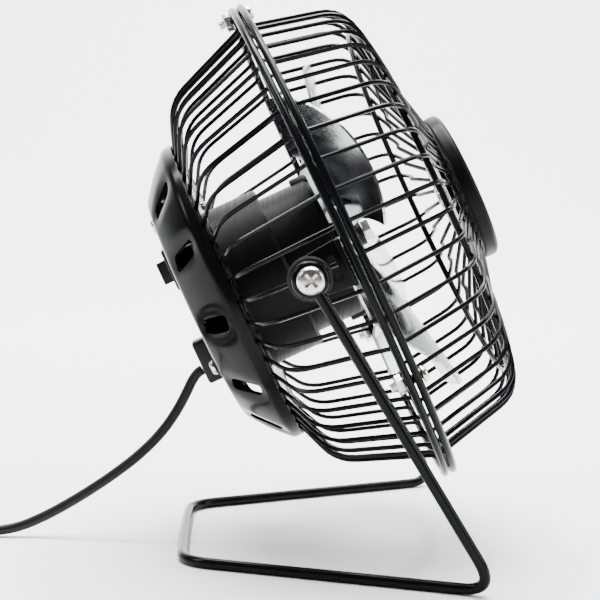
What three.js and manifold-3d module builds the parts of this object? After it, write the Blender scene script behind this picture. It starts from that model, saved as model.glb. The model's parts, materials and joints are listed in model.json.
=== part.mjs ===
// A four-inch all-metal USB desk fan on a bent-rod stand. Millimetres, +Z up, the fan blows towards -Y.
// The head turns about a level axis through two screws. In the head's own frame z runs along the fan's axis
// from the plane where the two guards meet, +z forward, y is up in that plane, and x is across the fan.
import * as THREE from "three";
import { mergeVertices } from "three/addons/utils/BufferGeometryUtils.js";
import Module from "manifold-3d";

const wasm = await Module();
wasm.setup();

// ---------------------------------------------------------------- driving dimensions
const gap = 0.3; // between pieces that touch

// stand
const rodR = 1.4; // half the rod's thickness across its flats
const floorClearance = 5.5; // left under the guard when the head is turned right down
const pivotBack = 8.3; // how far the pivot stands behind the middle of the whole fan
const footFront = 44.8; // from the pivot forward to the base's front corners
const footBack = 31.7; // from the pivot back to the rear bar
const legLean = 3.4; // how much closer together the legs are at the front corners than at the eyes
const floorGap = 0.02; // keeps rounding off the floor
const footHalfRear = 35;
const frontBend = 10; // how far before a corner the rod starts to bend
const rearBend = 8;

// head
const tiltUp = 24.8; // degrees above level at rest
const guardAhead = 12.4; // from the pivot axis forward to the plane between the guards

// guards
const wireCount = 48;
const wireR = 0.6;
const rimR = 69;
const rimWireR = 1;
const sectors = 6;
const brimWidth = 5.6;
const wallTopR = rimR - brimWidth; // where the wires turn from the flat brim into the wall
const frontShoulderR = wallTopR - 4.4;
const frontDepth = 19.5; // from the brim to the front shoulder
const frontBadgeRingR = 22.6;
const frontRise = 13; // from the shoulder forward to the ring under the badge
const supportRingR = frontShoulderR - 8.3;
const supportWireR = 0.75;
const rearShoulderR = wallTopR - 6.8;
const rearDepth = 21.5;
const rearRise = 9.8; // from the shoulder back to the foot ring
const footRingR = 41.3;
const footWireR = 0.8;

// guard clips
const clipAngles = [90, 210, 330];
const clipR = rimR - 2.1;
const clipScrewR = 1.2;
const clipHeadR = 2.1;
const lugHalfWidth = 4;
const lugThickness = 1.5;

// badge
const badgeR = 20.7;
const badgeThickness = 4.2;
const badgeEdge = 0.8;

// rear cover
const coverR = 43.4;
const coverBackR = 32.2;
const coverRim = 1.8; // length of its straight rim
const coverSlope = 9.6; // length of its cone along the axis
const coverWall = 0.9;
const ventCount = 12;
const ventTurn = 5; // degrees from the x axis to the first vent
const ventLength = 9.4;
const ventWidth = 4.4;

// mounting plate and motor
const plateThickness = 1;
const plateWeb = 4; // left between the plate's holes, its edge and the motor
const shroudR = 23;
const shroudFrontR = 20.2;
const shroudStep = -16; // where the shroud gets narrower
const shroudFront = -1.5;
const shroudWall = 1.6;
const canWall = 0.8;
const bushR = 4.2;
const bushLength = 3;
const shaftR = 1.5;
const bladeR = frontShoulderR - 9.5;
const bladeCount = 4;
const bladeThickness = 0.8;
const bladeStart = 177; // angle of the first blade's leading edge at the tip, degrees
const bladeSweep = 64; // angle that a blade covers at the tip, degrees
const bladeRootSweep = 70; // and at its root
const bladeRootR = 9;
const bladeLow = -2.4; // trailing edge at the tip
const bladeHigh = 13.2; // the highest point at the tip
const hubR = 9;

// switch
const switchUp = 12.8;
const bezelWidth = 16;
const bezelHeight = 11.8;
const bezelThickness = 1.8;
const rockerLength = 11.2;
const rockerWidth = 6.3;
const rockerProud = 2.6;
const rockerTilt = 8; // degrees to each side of level

// cable clamp and pivots
const clampDown = 14;
const clampHeight = 12.4;
const clampThickness = 5.2;
const clampBlockWidth = 8;
const clampFlangeWidth = 19;
const clampScrewX = 6.6;
const bracketX = rimR - 2.4; // inner face of the pivot brackets
const bracketThickness = 1.2;
const bracketWidth = 12;
const washerR = 5.4;
const washerThickness = 2.5;
const pivotHeadR = 3.4;
const pivotHeadThickness = 2.3;
const pivotScrewR = 1.5;
const nutThickness = 2.1;

// cord
const cordR = 1.4;
const cordSides = 8;
const coilX = -19.7;
const coilY = 114.9;
const coilInnerR = 11.8;
const coilOuterR = 21.1;
const coilHeight = 11.5;
const plugBody = [15.5, 12, 7.6]; // the plug's grip: along the cord, across it, and high
const reliefLength = 9;
const shellSize = [12, 12, 4.5];
const shellWall = 0.4;

// ---------------------------------------------------------------- sizes that follow from these
const eyeHoleR = pivotScrewR + gap;
const pivotHeight = Math.hypot(rimR + rimWireR, guardAhead) + floorClearance;

// ---------------------------------------------------------------- helpers
const deg = THREE.MathUtils.degToRad;
const v3 = (x, y, z) => new THREE.Vector3(x, y, z);
const v2 = (x, y) => new THREE.Vector2(x, y);

// A closed three.js geometry as a manifold solid.
function solid(geometry) {
  const bare = geometry.index ? geometry.toNonIndexed() : geometry.clone();
  bare.deleteAttribute("normal");
  bare.deleteAttribute("uv");
  const merged = mergeVertices(bare, 1e-4);
  const vertProperties = new Float32Array(merged.attributes.position.array);
  const triVerts = new Uint32Array(merged.index.array);
  return new wasm.Manifold(new wasm.Mesh({ numProp: 3, vertProperties, triVerts }));
}

// A manifold solid as a three.js geometry.
function geometryOf(body) {
  const mesh = body.getMesh();
  const geometry = new THREE.BufferGeometry();
  geometry.setAttribute("position", new THREE.BufferAttribute(mesh.vertProperties, 3));
  geometry.setIndex(new THREE.BufferAttribute(mesh.triVerts, 1));
  geometry.computeVertexNormals();
  return geometry;
}

const union = (list) => list.reduce((all, one) => all.add(one));

// A path with one section at each of its points, square to the bend there.
class Polyline extends THREE.Curve {
  constructor(points) {
    super();
    this.points = points;
  }
  getPoint(t, target = new THREE.Vector3()) {
    const last = this.points.length - 1;
    const at = THREE.MathUtils.clamp(t, 0, 1) * last;
    const i = Math.min(Math.floor(at + 1e-6), last - 1);
    return target.lerpVectors(this.points[i], this.points[i + 1], at - i);
  }
  getPointAt(u, target) {
    return this.getPoint(u, target);
  }
  getTangentAt(u, target = new THREE.Vector3()) {
    const last = this.points.length - 1;
    const i = Math.round(u * last);
    const before = v3(0, 0, 0).subVectors(this.points[Math.max(i, 1)], this.points[Math.max(i, 1) - 1]);
    const j = Math.min(i, last - 1);
    const after = v3(0, 0, 0).subVectors(this.points[j + 1], this.points[j]);
    return target.addVectors(before.normalize(), after.normalize()).normalize();
  }
}

// A bar of flat-sided section along a list of points. Its radius is measured to the flats, or, with fewer than
// six sides, its corners reach out by a quarter more.
function bar(points, radius, sides) {
  const section = new THREE.Shape();
  const reach = sides < 6 ? 1.25 * radius : radius / Math.cos(Math.PI / sides);
  for (let i = 0; i < sides; i++) {
    const angle = ((i + 0.5) / sides) * 2 * Math.PI;
    section[i ? "lineTo" : "moveTo"](reach * Math.cos(angle), reach * Math.sin(angle));
  }
  const options = { steps: points.length - 1, bevelEnabled: false, extrudePath: new Polyline(points) };
  return new THREE.ExtrudeGeometry(section, options);
}

// Points with each inner corner replaced by a curve that starts setback before it.
function bent(corners, setback, curveSteps) {
  const out = [corners[0]];
  for (let i = 1; i < corners.length - 1; i++) {
    const back = corners[i - 1].clone().sub(corners[i]).setLength(setback).add(corners[i]);
    const on = corners[i + 1].clone().sub(corners[i]).setLength(setback).add(corners[i]);
    out.push(...new THREE.QuadraticBezierCurve3(back, corners[i], on).getPoints(curveSteps));
  }
  out.push(corners[corners.length - 1]);
  return out;
}

// A turned piece about the z axis from (radius, z) pairs, which start and end on the axis or close.
function turned(profile, segments) {
  const points = profile.map(([r, z]) => v2(r, z));
  if (THREE.ShapeUtils.area(points) < 0) points.reverse();
  return new THREE.LatheGeometry(points, segments).rotateX(Math.PI / 2);
}

// A tube or washer about the z axis.
function sleeve(inner, outer, low, high, segments) {
  const ring = [[inner, low], [outer, low], [outer, high], [inner, high], [inner, low]];
  return turned(ring, segments);
}

function disc(radius, low, high, segments) {
  return turned([[0, low], [radius, low], [radius, high], [0, high]], segments);
}

// An extruded outline from low to high along z.
function plate(outline, low, high, holes = []) {
  const shape = new THREE.Shape(outline);
  shape.holes = holes;
  const geometry = new THREE.ExtrudeGeometry(shape, { depth: high - low, bevelEnabled: false, curveSegments: 4 });
  return geometry.translate(0, 0, low);
}

function rectangle(halfX, halfY, chamfer = 0) {
  const c = chamfer;
  if (!c) return [v2(-halfX, -halfY), v2(halfX, -halfY), v2(halfX, halfY), v2(-halfX, halfY)];
  const corner = [v2(halfX, halfY - c), v2(halfX - c, halfY)];
  const across = corner.map((p) => v2(-p.x, p.y)).reverse();
  const below = [...corner, ...across].map((p) => v2(-p.x, -p.y));
  return [...corner, ...across, ...below];
}

function roundHole(x, y, radius) {
  return new THREE.Path().absarc(x, y, radius, 0, 2 * Math.PI, true);
}

// A pan-head screw: its head's underside at z = 0, the head towards +z, the shank towards -z.
function screw(headR, headHeight, shankR, shankLength) {
  const outline = [
    [0, -shankLength],
    [shankR, -shankLength],
    [shankR, 0],
    [headR, 0],
    [headR, headHeight * 0.45],
    [headR * 0.72, headHeight * 0.9],
    [0, headHeight],
  ];
  return turned(outline, 12);
}

function nut(acrossFlats, hole, thickness) {
  const corners = Array.from({ length: 6 }, (_, i) => {
    const reach = acrossFlats / 2 / Math.cos(Math.PI / 6);
    return v2(reach * Math.cos((i * Math.PI) / 3), reach * Math.sin((i * Math.PI) / 3));
  });
  return plate(corners, 0, thickness, [roundHole(0, 0, hole)]);
}

const finish = {
  blackPaint: { color: 0x101011, roughness: 0.22, metalness: 0.3 },
  satinBlack: { color: 0x1b1b1c, roughness: 0.5, metalness: 0.2 },
  blackPlastic: { color: 0x161617, roughness: 0.55, metalness: 0 },
  rubber: { color: 0x0f0f10, roughness: 0.85, metalness: 0 },
  aluminium: { color: 0xd4d6d8, roughness: 0.16, metalness: 1 },
  nickel: { color: 0xc4c2bd, roughness: 0.25, metalness: 1 },
  steel: { color: 0x8d8e90, roughness: 0.4, metalness: 1 },
  brass: { color: 0xb08a45, roughness: 0.35, metalness: 1 },
  copper: { color: 0xa5562c, roughness: 0.4, metalness: 1 },
  magnet: { color: 0x3b3a3c, roughness: 0.6, metalness: 0.3 },
};

function piece(parent, name, shape, look) {
  const geometry = shape.isBufferGeometry ? shape : geometryOf(shape);
  const mesh = new THREE.Mesh(geometry, new THREE.MeshStandardMaterial(finish[look]));
  mesh.name = name;
  parent.add(mesh);
  return mesh;
}

// ---------------------------------------------------------------- frames
const deskFan = new THREE.Group();
const head = new THREE.Group(); // z along the fan's axis, origin in the plane between the guards
const tilt = deg(tiltUp);
head.rotation.x = Math.PI / 2 - tilt;
head.position.set(
  0,
  pivotBack - guardAhead * Math.cos(tilt),
  pivotHeight + guardAhead * Math.sin(tilt),
);
deskFan.add(head);
const pivotZ = -guardAhead;

// ---------------------------------------------------------------- pivots, from the inside out
const washerX = bracketX + bracketThickness + gap;
const eyeX = washerX + washerThickness + 1.5 * gap + rodR;
const pivotHeadX = eyeX + rodR + gap;
const footHalfFront = eyeX - legLean;

// ---------------------------------------------------------------- stand
function standRod() {
  const frontY = pivotBack - footFront;
  const rearY = pivotBack + footBack;
  const eyeR = eyeHoleR + rodR;
  const sides = [-1, 1].map((side) => {
    const eye = v3(side * eyeX, pivotBack, pivotHeight);
    const front = v3(side * footHalfFront, frontY, rodR + floorGap);
    const rear = v3(side * footHalfRear, rearY, rodR + floorGap);
    const down = front.clone().sub(eye).normalize();
    const alongRail = rear.clone().sub(front).setLength(frontBend + 3 * rodR).add(front);
    const start = eye.clone().addScaledVector(down, eyeR);
    const leg = solid(bar(bent([start, front, alongRail], frontBend, 4), rodR, 8));
    const ring = turned(
      [[eyeR - rodR, 0], [eyeR, -rodR], [eyeR + rodR, 0], [eyeR, rodR], [eyeR - rodR, 0]],
      20,
    );
    ring.rotateY(Math.PI / 2).translate(eye.x, eye.y, eye.z);
    return { leg: leg.add(solid(ring)), front, rear };
  });
  const railStart = (s) => s.rear.clone().sub(s.front).setLength(frontBend).add(s.front);
  const loop = [railStart(sides[0]), sides[0].rear, sides[1].rear, railStart(sides[1])];
  const base = solid(bar(bent(loop, rearBend, 4), rodR, 8));
  return union([base, ...sides.map((s) => s.leg)]);
}
piece(deskFan, "stand_rod", standRod(), "blackPaint");

// ---------------------------------------------------------------- guards
const brimZ = rimWireR + gap / 2;
const frontShoulderZ = brimZ + frontDepth - 1.1;
const badgeRingZ = frontShoulderZ + frontRise;
const rearShoulderZ = -(brimZ + rearDepth - 1.2);
const footRingZ = rearShoulderZ - rearRise;

// A guard wire as (radius, z) pairs, from the rim to its inner ring.
const frontWire = [
  [rimR, brimZ],
  [wallTopR + 0.4, brimZ],
  [frontShoulderR, frontShoulderZ],
  [frontShoulderR - 2.4, frontShoulderZ + 3.9],
  [frontShoulderR - 6.6, frontShoulderZ + 6.5],
  [frontBadgeRingR, badgeRingZ],
];
const rearWire = [
  [rimR, -brimZ],
  [wallTopR + 0.4, -brimZ],
  [rearShoulderR, rearShoulderZ],
  [rearShoulderR - 3.6, rearShoulderZ - 5.2],
  [footRingR, footRingZ],
];

// The z of a wire's middle at a radius on its sloping front part.
function wireZ(wire, radius) {
  for (let i = 2; i < wire.length - 1; i++) {
    const [r0, z0] = wire[i];
    const [r1, z1] = wire[i + 1];
    if (radius <= r0 && radius >= r1) return z0 + ((r0 - radius) / (r0 - r1)) * (z1 - z0);
  }
  return wire[wire.length - 1][1];
}

const polar = (radius, angle, z) => v3(radius * Math.cos(angle), radius * Math.sin(angle), z);

// A bar round part of a circle about the z axis.
function arcBar(radius, z, from, to, thickness, sides, steps) {
  const points = Array.from({ length: steps + 1 }, (_, i) => {
    return polar(radius, THREE.MathUtils.lerp(from, to, i / steps), z);
  });
  return solid(bar(points, thickness, sides));
}

// One sector of a guard: its radial wires and its share of the rings, welded into one body.
function guardSector(index, wire, rings, lugZ) {
  const step = (2 * Math.PI) / wireCount;
  const perSector = wireCount / sectors;
  const first = index * perSector;
  const from = (first - 0.5) * step;
  const to = (first + perSector - 0.5) * step;
  const parts = rings.map(({ radius, z, thickness, sides }) => {
    const share = gap / radius;
    return arcBar(radius, z, from + share, to - share, thickness, sides, 6);
  });
  const lug = clipAngles.map(deg).find((angle) => angle > from && angle < to);
  for (let k = first; k < first + perSector; k++) {
    const angle = k * step;
    const atLug = lug !== undefined && Math.abs(angle - lug) < step / 2;
    const line = (atLug ? wire.slice(1) : wire).map(([r, z]) => polar(r, angle, z));
    parts.push(solid(bar(line, wireR, 3)));
  }
  if (lug !== undefined) {
    const middle = (wallTopR + rimR) / 2;
    const half = (rimR - wallTopR) / 2 + 0.4;
    const sheet = plate(rectangle(half, lugHalfWidth, 1), -lugThickness / 2, lugThickness / 2);
    parts.push(solid(sheet.translate(middle, 0, lugZ).rotateZ(lug)));
  }
  const body = union(parts);
  if (lug === undefined) return body;
  const hole = disc(clipScrewR + gap, -3 * rimWireR, 3 * rimWireR, 12);
  return body.subtract(solid(hole.translate(clipR * Math.cos(lug), clipR * Math.sin(lug), lugZ)));
}

const frontRings = [
  { radius: rimR, z: brimZ, thickness: rimWireR, sides: 6 },
  { radius: frontBadgeRingR, z: badgeRingZ, thickness: footWireR, sides: 4 },
];
const rearRings = [
  { radius: rimR, z: -brimZ, thickness: rimWireR, sides: 6 },
  { radius: footRingR, z: footRingZ, thickness: footWireR, sides: 4 },
];
const lugMiddle = brimZ + 0.2;
for (let i = 0; i < sectors; i++) {
  const number = i + 1;
  piece(head, `front_guard_sector_${number}`, guardSector(i, frontWire, frontRings, lugMiddle), "blackPaint");
  piece(head, `rear_guard_sector_${number}`, guardSector(i, rearWire, rearRings, -lugMiddle), "blackPaint");
}

// The ring that runs behind the front wires and holds their spacing.
const supportZ = wireZ(frontWire, supportRingR) - 1.25 * wireR - 1.25 * supportWireR - gap;
const supportProfile = [0, 1, 2, 3, 0].map((k) => {
  const angle = (k * Math.PI) / 2;
  return [supportRingR + supportWireR * Math.cos(angle), supportZ + supportWireR * Math.sin(angle)];
});
piece(head, "front_support_ring", turned(supportProfile, 36), "blackPaint");

clipAngles.forEach((angle, i) => {
  const clip = screw(clipHeadR, 1.6, clipScrewR, 8.6);
  const mesh = piece(head, `guard_screw_${i + 1}`, clip, "nickel");
  const at = polar(clipR, deg(angle), brimZ + rimWireR + gap);
  mesh.position.copy(at);
});

// ---------------------------------------------------------------- badge
const badgeBack = badgeRingZ + footWireR + gap;
const badgeFront = badgeBack + badgeThickness;
const badgeProfile = [
  [0, badgeBack],
  [badgeR, badgeBack],
  [badgeR, badgeFront - badgeEdge],
  [badgeR - badgeEdge, badgeFront],
  [0, badgeFront],
];
const postHole = solid(disc(1.6, badgeBack - 1, badgeBack + 2.4, 12));
piece(head, "front_badge", solid(turned(badgeProfile, 36)).subtract(postHole), "satinBlack");
const clampDisc = [frontBadgeRingR - 6, badgeRingZ - footWireR - gap - 1.2, badgeRingZ - footWireR - gap];
piece(head, "badge_clamp_disc", sleeve(1.6, clampDisc[0], clampDisc[1], clampDisc[2], 28), "blackPaint");
const badgeScrew = piece(head, "badge_screw", screw(2.4, 1.5, 1.3, badgeBack + 2 - clampDisc[1]), "nickel");
badgeScrew.rotation.y = Math.PI;
badgeScrew.position.z = clampDisc[1] - gap;

// ---------------------------------------------------------------- mounting plate
const plateZ = [footRingZ - plateThickness / 2, footRingZ + plateThickness / 2];
const plateR = footRingR - footWireR - gap;
const plateBossHoleR = bushR + 4;
const ventHoles = Array.from({ length: 6 }, (_, i) => {
  const at = polar((plateR + shroudR) / 2 + 1, deg(30 + 60 * i), 0);
  return roundHole(at.x, at.y, (plateR - shroudR) / 2 - plateWeb);
});
const screwPost = { x: 0, y: 24.9 };
const plateOutline = Array.from({ length: 30 }, (_, i) => {
  const angle = (i * Math.PI) / 15;
  return v2(plateR * Math.cos(angle), plateR * Math.sin(angle));
});
piece(
  head,
  "motor_mounting_plate",
  plate(
    plateOutline,
    plateZ[0],
    plateZ[1],
    [roundHole(0, 0, plateBossHoleR), ...ventHoles, roundHole(screwPost.x, screwPost.y, 1.6)],
  ),
  "blackPaint",
);

// ---------------------------------------------------------------- rear cover
const coverFront = footRingZ - footWireR - gap;
const coverEdge = coverFront - coverRim;
const coverBack = coverEdge - coverSlope;
const slopeAngle = Math.atan2(coverR - coverBackR, coverSlope);
function rearCover() {
  const t = coverWall;
  const shell = turned(
    [
      [coverR - t, coverFront],
      [coverR, coverFront],
      [coverR, coverEdge],
      [coverBackR, coverBack],
      [0, coverBack],
      [0, coverBack + t],
      [coverBackR - t * 0.6, coverBack + t],
      [coverR - t, coverEdge + t * 0.6],
      [coverR - t, coverFront],
    ],
    36,
  );
  const middleR = (coverR + coverBackR) / 2;
  const middleZ = (coverEdge + coverBack) / 2;
  const cuts = Array.from({ length: ventCount }, (_, i) => {
    const slot = plate(rectangle(ventLength / 2, ventWidth / 2), -3, 3);
    slot.rotateY(slopeAngle - Math.PI / 2 + Math.PI).translate(middleR, 0, middleZ);
    return solid(slot.rotateZ(deg(ventTurn) + (i / ventCount) * 2 * Math.PI));
  });
  const openings = [
    solid(new THREE.BoxGeometry(bezelWidth - 3, bezelHeight - 3, 6).translate(0, switchUp, coverBack)),
    solid(disc(cordR + gap, coverBack - 3, coverBack + 3, 12).translate(0, -clampDown - 2, 0)),
    solid(disc(1.6, coverBack - 3, coverBack + 3, 12).translate(screwPost.x, screwPost.y, 0)),
    ...[-1, 1].map((side) =>
      solid(disc(1.4, coverBack - 3, coverBack + 3, 12).translate(side * clampScrewX, -clampDown - 2, 0)),
    ),
  ];
  return solid(shell).subtract(union([...cuts, ...openings]));
}
piece(head, "rear_cover", rearCover(), "blackPaint");
const coverScrew = piece(
  head,
  "cover_screw",
  screw(2.4, 1.6, 1.3, coverFront - coverBack + 3),
  "nickel",
);
coverScrew.rotation.y = Math.PI;
coverScrew.position.set(screwPost.x, screwPost.y, coverBack - gap);

// ---------------------------------------------------------------- motor
const shroudBack = plateZ[1] + gap;
const shroudInner = shroudFrontR - shroudWall;
const bossUp = shroudFrontR - 1.6;
piece(
  head,
  "motor_shroud_rear",
  sleeve(shroudInner, shroudR, shroudBack, shroudStep - gap / 2, 30),
  "satinBlack",
);
function frontShroud() {
  const low = shroudStep + gap / 2;
  const cup = turned(
    [
      [shroudInner, low],
      [shroudFrontR, low],
      [shroudFrontR, shroudFront - 1],
      [shroudFrontR - 1, shroudFront],
      [bushR + gap, shroudFront],
      [bushR + gap, shroudFront - shroudWall],
      [shroudInner, shroudFront - shroudWall],
      [shroudInner, low],
    ],
    30,
  );
  const bosses = [-1, 1].map((side) => solid(disc(2.6, shroudFront - 5, shroudFront, 12).translate(0, side * bossUp, 0)));
  const inside = solid(disc(shroudInner, low - 1, shroudFront - shroudWall, 30));
  return union([solid(cup), ...bosses.map((boss) => boss.subtract(inside))]);
}
piece(head, "motor_shroud_front", frontShroud(), "satinBlack");

const canR = shroudInner - 2 * gap;
const canBack = shroudBack + 2;
const canFront = shroudFront - shroudWall - gap;
const canInner = canR - canWall;
piece(
  head,
  "motor_can",
  turned(
    [
      [canInner, canBack],
      [canR, canBack],
      [canR, canFront],
      [bushR + gap, canFront],
      [bushR + gap, canFront - canWall],
      [canInner, canFront - canWall],
      [canInner, canBack],
    ],
    30,
  ),
  "steel",
);
const capFront = canBack + 1.4;
const bushFront = canBack - 1.2 + bushLength;
const brushZ = bushFront + gap + 1;
piece(head, "motor_end_cap", sleeve(bushR + gap, canInner - gap, canBack, capFront, 24), "blackPlastic");
const bushHole = shaftR + 0.06;
piece(head, "front_bush", sleeve(bushHole, bushR, canFront - bushLength, canFront + 1.2, 16), "brass");
piece(head, "rear_bush", sleeve(bushHole, bushR, canBack - 1.2, bushFront, 16), "brass");

const magnetInner = canInner - gap - 3.2;
const magnetZ = [brushZ + 2.4, canFront - canWall - 3];
function magnet(middle) {
  const half = deg(62);
  const outline = new THREE.Shape()
    .absarc(0, 0, canInner - gap, middle - half, middle + half, false)
    .absarc(0, 0, magnetInner, middle + half, middle - half, true);
  const options = { depth: magnetZ[1] - magnetZ[0], bevelEnabled: false, curveSegments: 9 };
  return new THREE.ExtrudeGeometry(outline, options).translate(0, 0, magnetZ[0]);
}
piece(head, "magnet_upper", magnet(Math.PI / 2), "magnet");
piece(head, "magnet_lower", magnet(-Math.PI / 2), "magnet");
for (const [name, side] of [["brush_left", -1], ["brush_right", 1]]) {
  const brush = new THREE.BoxGeometry(3, 2, 1.6);
  piece(head, name, brush.translate(side * (shaftR + 1.6 + gap + 1.5 + 0.2), 0, brushZ), "copper");
}

// ---------------------------------------------------------------- rotor
const hubBack = shroudFront + 2;
const hubFront = hubBack + 7;
const shaftZ = [canBack - 3, hubFront + 1.2];
piece(head, "rotor_shaft", disc(shaftR, shaftZ[0], shaftZ[1], 16), "steel");
const coreR = magnetInner - 0.6;
const core = [magnetZ[0] + 2, magnetZ[1] - 2];
function armature() {
  const slots = Array.from({ length: 5 }, (_, i) =>
    solid(new THREE.BoxGeometry(coreR, 1.6, 40).translate(coreR * 0.95, 0, (core[0] + core[1]) / 2).rotateZ(deg(72 * i))),
  );
  return solid(sleeve(shaftR + gap, coreR, core[0], core[1], 20)).subtract(union(slots));
}
piece(head, "armature_core", armature(), "steel");
piece(head, "armature_winding", sleeve(shaftR + gap + 1.2, coreR - 2, core[1] + gap, core[1] + gap + 2, 20), "copper");
piece(head, "commutator", sleeve(shaftR + gap, shaftR + 1.6, bushFront + gap, core[0] - gap, 16), "copper");

function hub() {
  const body = turned(
    [
      [shaftR + gap, hubBack],
      [hubR - 1, hubBack],
      [hubR - 1, hubBack + 1.5],
      [3.6, hubBack + 1.5],
      [3.6, hubFront - 1.2],
      [shaftR + gap, hubFront - 1.2],
      [shaftR + gap, hubBack],
    ],
    24,
  );
  return solid(body);
}
piece(head, "blade_hub", hub(), "blackPlastic");
const bladePlateZ = hubBack + 1.5 + gap;

// One blade: a grid over the blade's outline, bent so that it climbs from its trailing edge and flattens
// towards its leading edge.
function blade(leading) {
  const grid = new THREE.BoxGeometry(1, 1, 1, 5, 4, 1);
  const at = grid.attributes.position;
  for (let i = 0; i < at.count; i++) {
    const out = at.getX(i) + 0.5; // 0 at the root, 1 at the tip
    const along = at.getY(i) + 0.5; // 0 at the trailing edge, 1 at the leading edge
    const radius = bladeRootR * (1 - out) + bladeR * out;
    const rounding = 1 - 0.05 * out ** 3 * (2 * along - 1) ** 4;
    const sweep = THREE.MathUtils.lerp(bladeRootSweep, bladeSweep, out);
    const lead = leading - THREE.MathUtils.lerp(14, 0, out) - (1 - along) * sweep;
    const pastMotor = THREE.MathUtils.clamp((radius - shroudFrontR - 1) / (0.3 * (bladeR - shroudFrontR)), 0, 1);
    const low = THREE.MathUtils.lerp(bladePlateZ, bladeLow, pastMotor);
    const high = THREE.MathUtils.lerp(bladePlateZ + 3, bladeHigh, out);
    const z = THREE.MathUtils.lerp(low, high, Math.sin(along * deg(124)));
    const p = polar(radius * rounding, deg(lead), z + at.getZ(i) * bladeThickness);
    at.setXYZ(i, p.x, p.y, p.z);
  }
  return solid(grid);
}
function blades() {
  const set = Array.from({ length: bladeCount }, (_, i) => blade(bladeStart + (i * 360) / bladeCount));
  const middle = solid(sleeve(4.2, bladeRootR + 3, bladePlateZ, bladePlateZ + 1, 28));
  const clear = solid(disc(3.6 + gap, bladePlateZ - 5, bladePlateZ + 9, 20));
  return union([middle, ...set]).subtract(clear);
}
piece(head, "fan_blades", blades(), "aluminium");
piece(head, "hub_nut", nut(5.5, shaftR + gap, 2).translate(0, 0, hubFront - 1.2 + gap), "nickel");

// ---------------------------------------------------------------- switch
const bezelFace = coverBack - gap;
const bezelOuter = bezelFace - bezelThickness;
function switchBody() {
  const frame = plate(rectangle(bezelWidth / 2, bezelHeight / 2, 1.2), bezelOuter, bezelFace).translate(0, switchUp, 0);
  const box = new THREE.BoxGeometry(bezelWidth - 3.8, bezelHeight - 3.8, 6.4);
  box.translate(0, switchUp, bezelFace + 3.2 - 0.1);
  const well = new THREE.BoxGeometry(rockerLength + 0.8, rockerWidth + 0.8, 7.4);
  well.translate(0, switchUp, bezelOuter + 3);
  return solid(frame).add(solid(box)).subtract(solid(well));
}
piece(head, "switch_body", switchBody(), "blackPlastic");
function rocker() {
  const half = rockerLength / 2;
  const rise = half * Math.sin(deg(rockerTilt));
  const side = new THREE.Shape([
    v2(-half + 0.3, 1.2),
    v2(half - 0.3, 1.2),
    v2(half, -rockerProud + rise * 2),
    v2(0, -rockerProud + rise + 0.9),
    v2(-half, -rockerProud),
  ]);
  const block = new THREE.ExtrudeGeometry(side, { depth: rockerWidth, bevelEnabled: false });
  block.translate(0, 0, -rockerWidth / 2).rotateX(Math.PI / 2);
  return block.translate(0, switchUp, bezelOuter);
}
piece(head, "switch_rocker", rocker(), "blackPlastic");

// ---------------------------------------------------------------- cable clamp
const clampFace = coverBack - gap;
const cordHoleY = -clampDown - 2;
function cableClamp() {
  const low = clampFace - clampThickness;
  const block = plate(rectangle(clampBlockWidth / 2, clampHeight / 2, 1), low, clampFace);
  const flange = plate(rectangle(clampFlangeWidth / 2, clampHeight / 2 - 1, 1), clampFace - 1.2, clampFace);
  const body = solid(block.translate(0, -clampDown, 0)).add(solid(flange.translate(0, -clampDown, 0)));
  const holes = [solid(disc(cordR + gap, low - 1, clampFace + 1, 12).translate(0, cordHoleY, 0))];
  for (const side of [-1, 1]) {
    holes.push(solid(disc(1.4, low - 1, clampFace + 1, 12).translate(side * clampScrewX, cordHoleY, 0)));
  }
  return body.subtract(union(holes));
}
piece(head, "cable_clamp", cableClamp(), "blackPlastic");
for (const [name, side] of [["clamp_screw_left", -1], ["clamp_screw_right", 1]]) {
  const mesh = piece(head, name, screw(2.2, 1.5, 1.1, 4.5), "nickel");
  mesh.rotation.y = Math.PI;
  mesh.position.set(side * clampScrewX, cordHoleY, clampFace - 1.2 - gap);
}

// ---------------------------------------------------------------- leads inside the cover
const inlet = v3(0, cordHoleY, coverBack + coverWall + 1);
const leadR = 0.6;
const leadMotor = [
  v3(1.2, inlet.y, inlet.z),
  v3(2, inlet.y, inlet.z + 2),
  v3(4, inlet.y + 4, inlet.z + 3.4),
  v3(6, inlet.y + 9, inlet.z + 4.4),
  v3(6.2, inlet.y + 12, inlet.z + 5),
  v3(6, inlet.y + 13, inlet.z + 8),
  v3(6, inlet.y + 13.2, canBack - 0.9),
];
const leadSwitch = [
  v3(-1.2, inlet.y, inlet.z),
  v3(-2, inlet.y, inlet.z + 2),
  v3(-6, inlet.y + 5, inlet.z + 2.6),
  v3(-11, inlet.y + 13, inlet.z + 3),
  v3(-11, inlet.y + 22, inlet.z + 3.4),
  v3(-8, inlet.y + 27, inlet.z + 5.8),
  v3(-4, switchUp - 1, bezelFace + 7.6 + gap),
];
piece(head, "lead_to_motor", bar(leadMotor, leadR, 6), "copper");
piece(head, "lead_to_switch", bar(leadSwitch, leadR, 6), "rubber");

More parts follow.
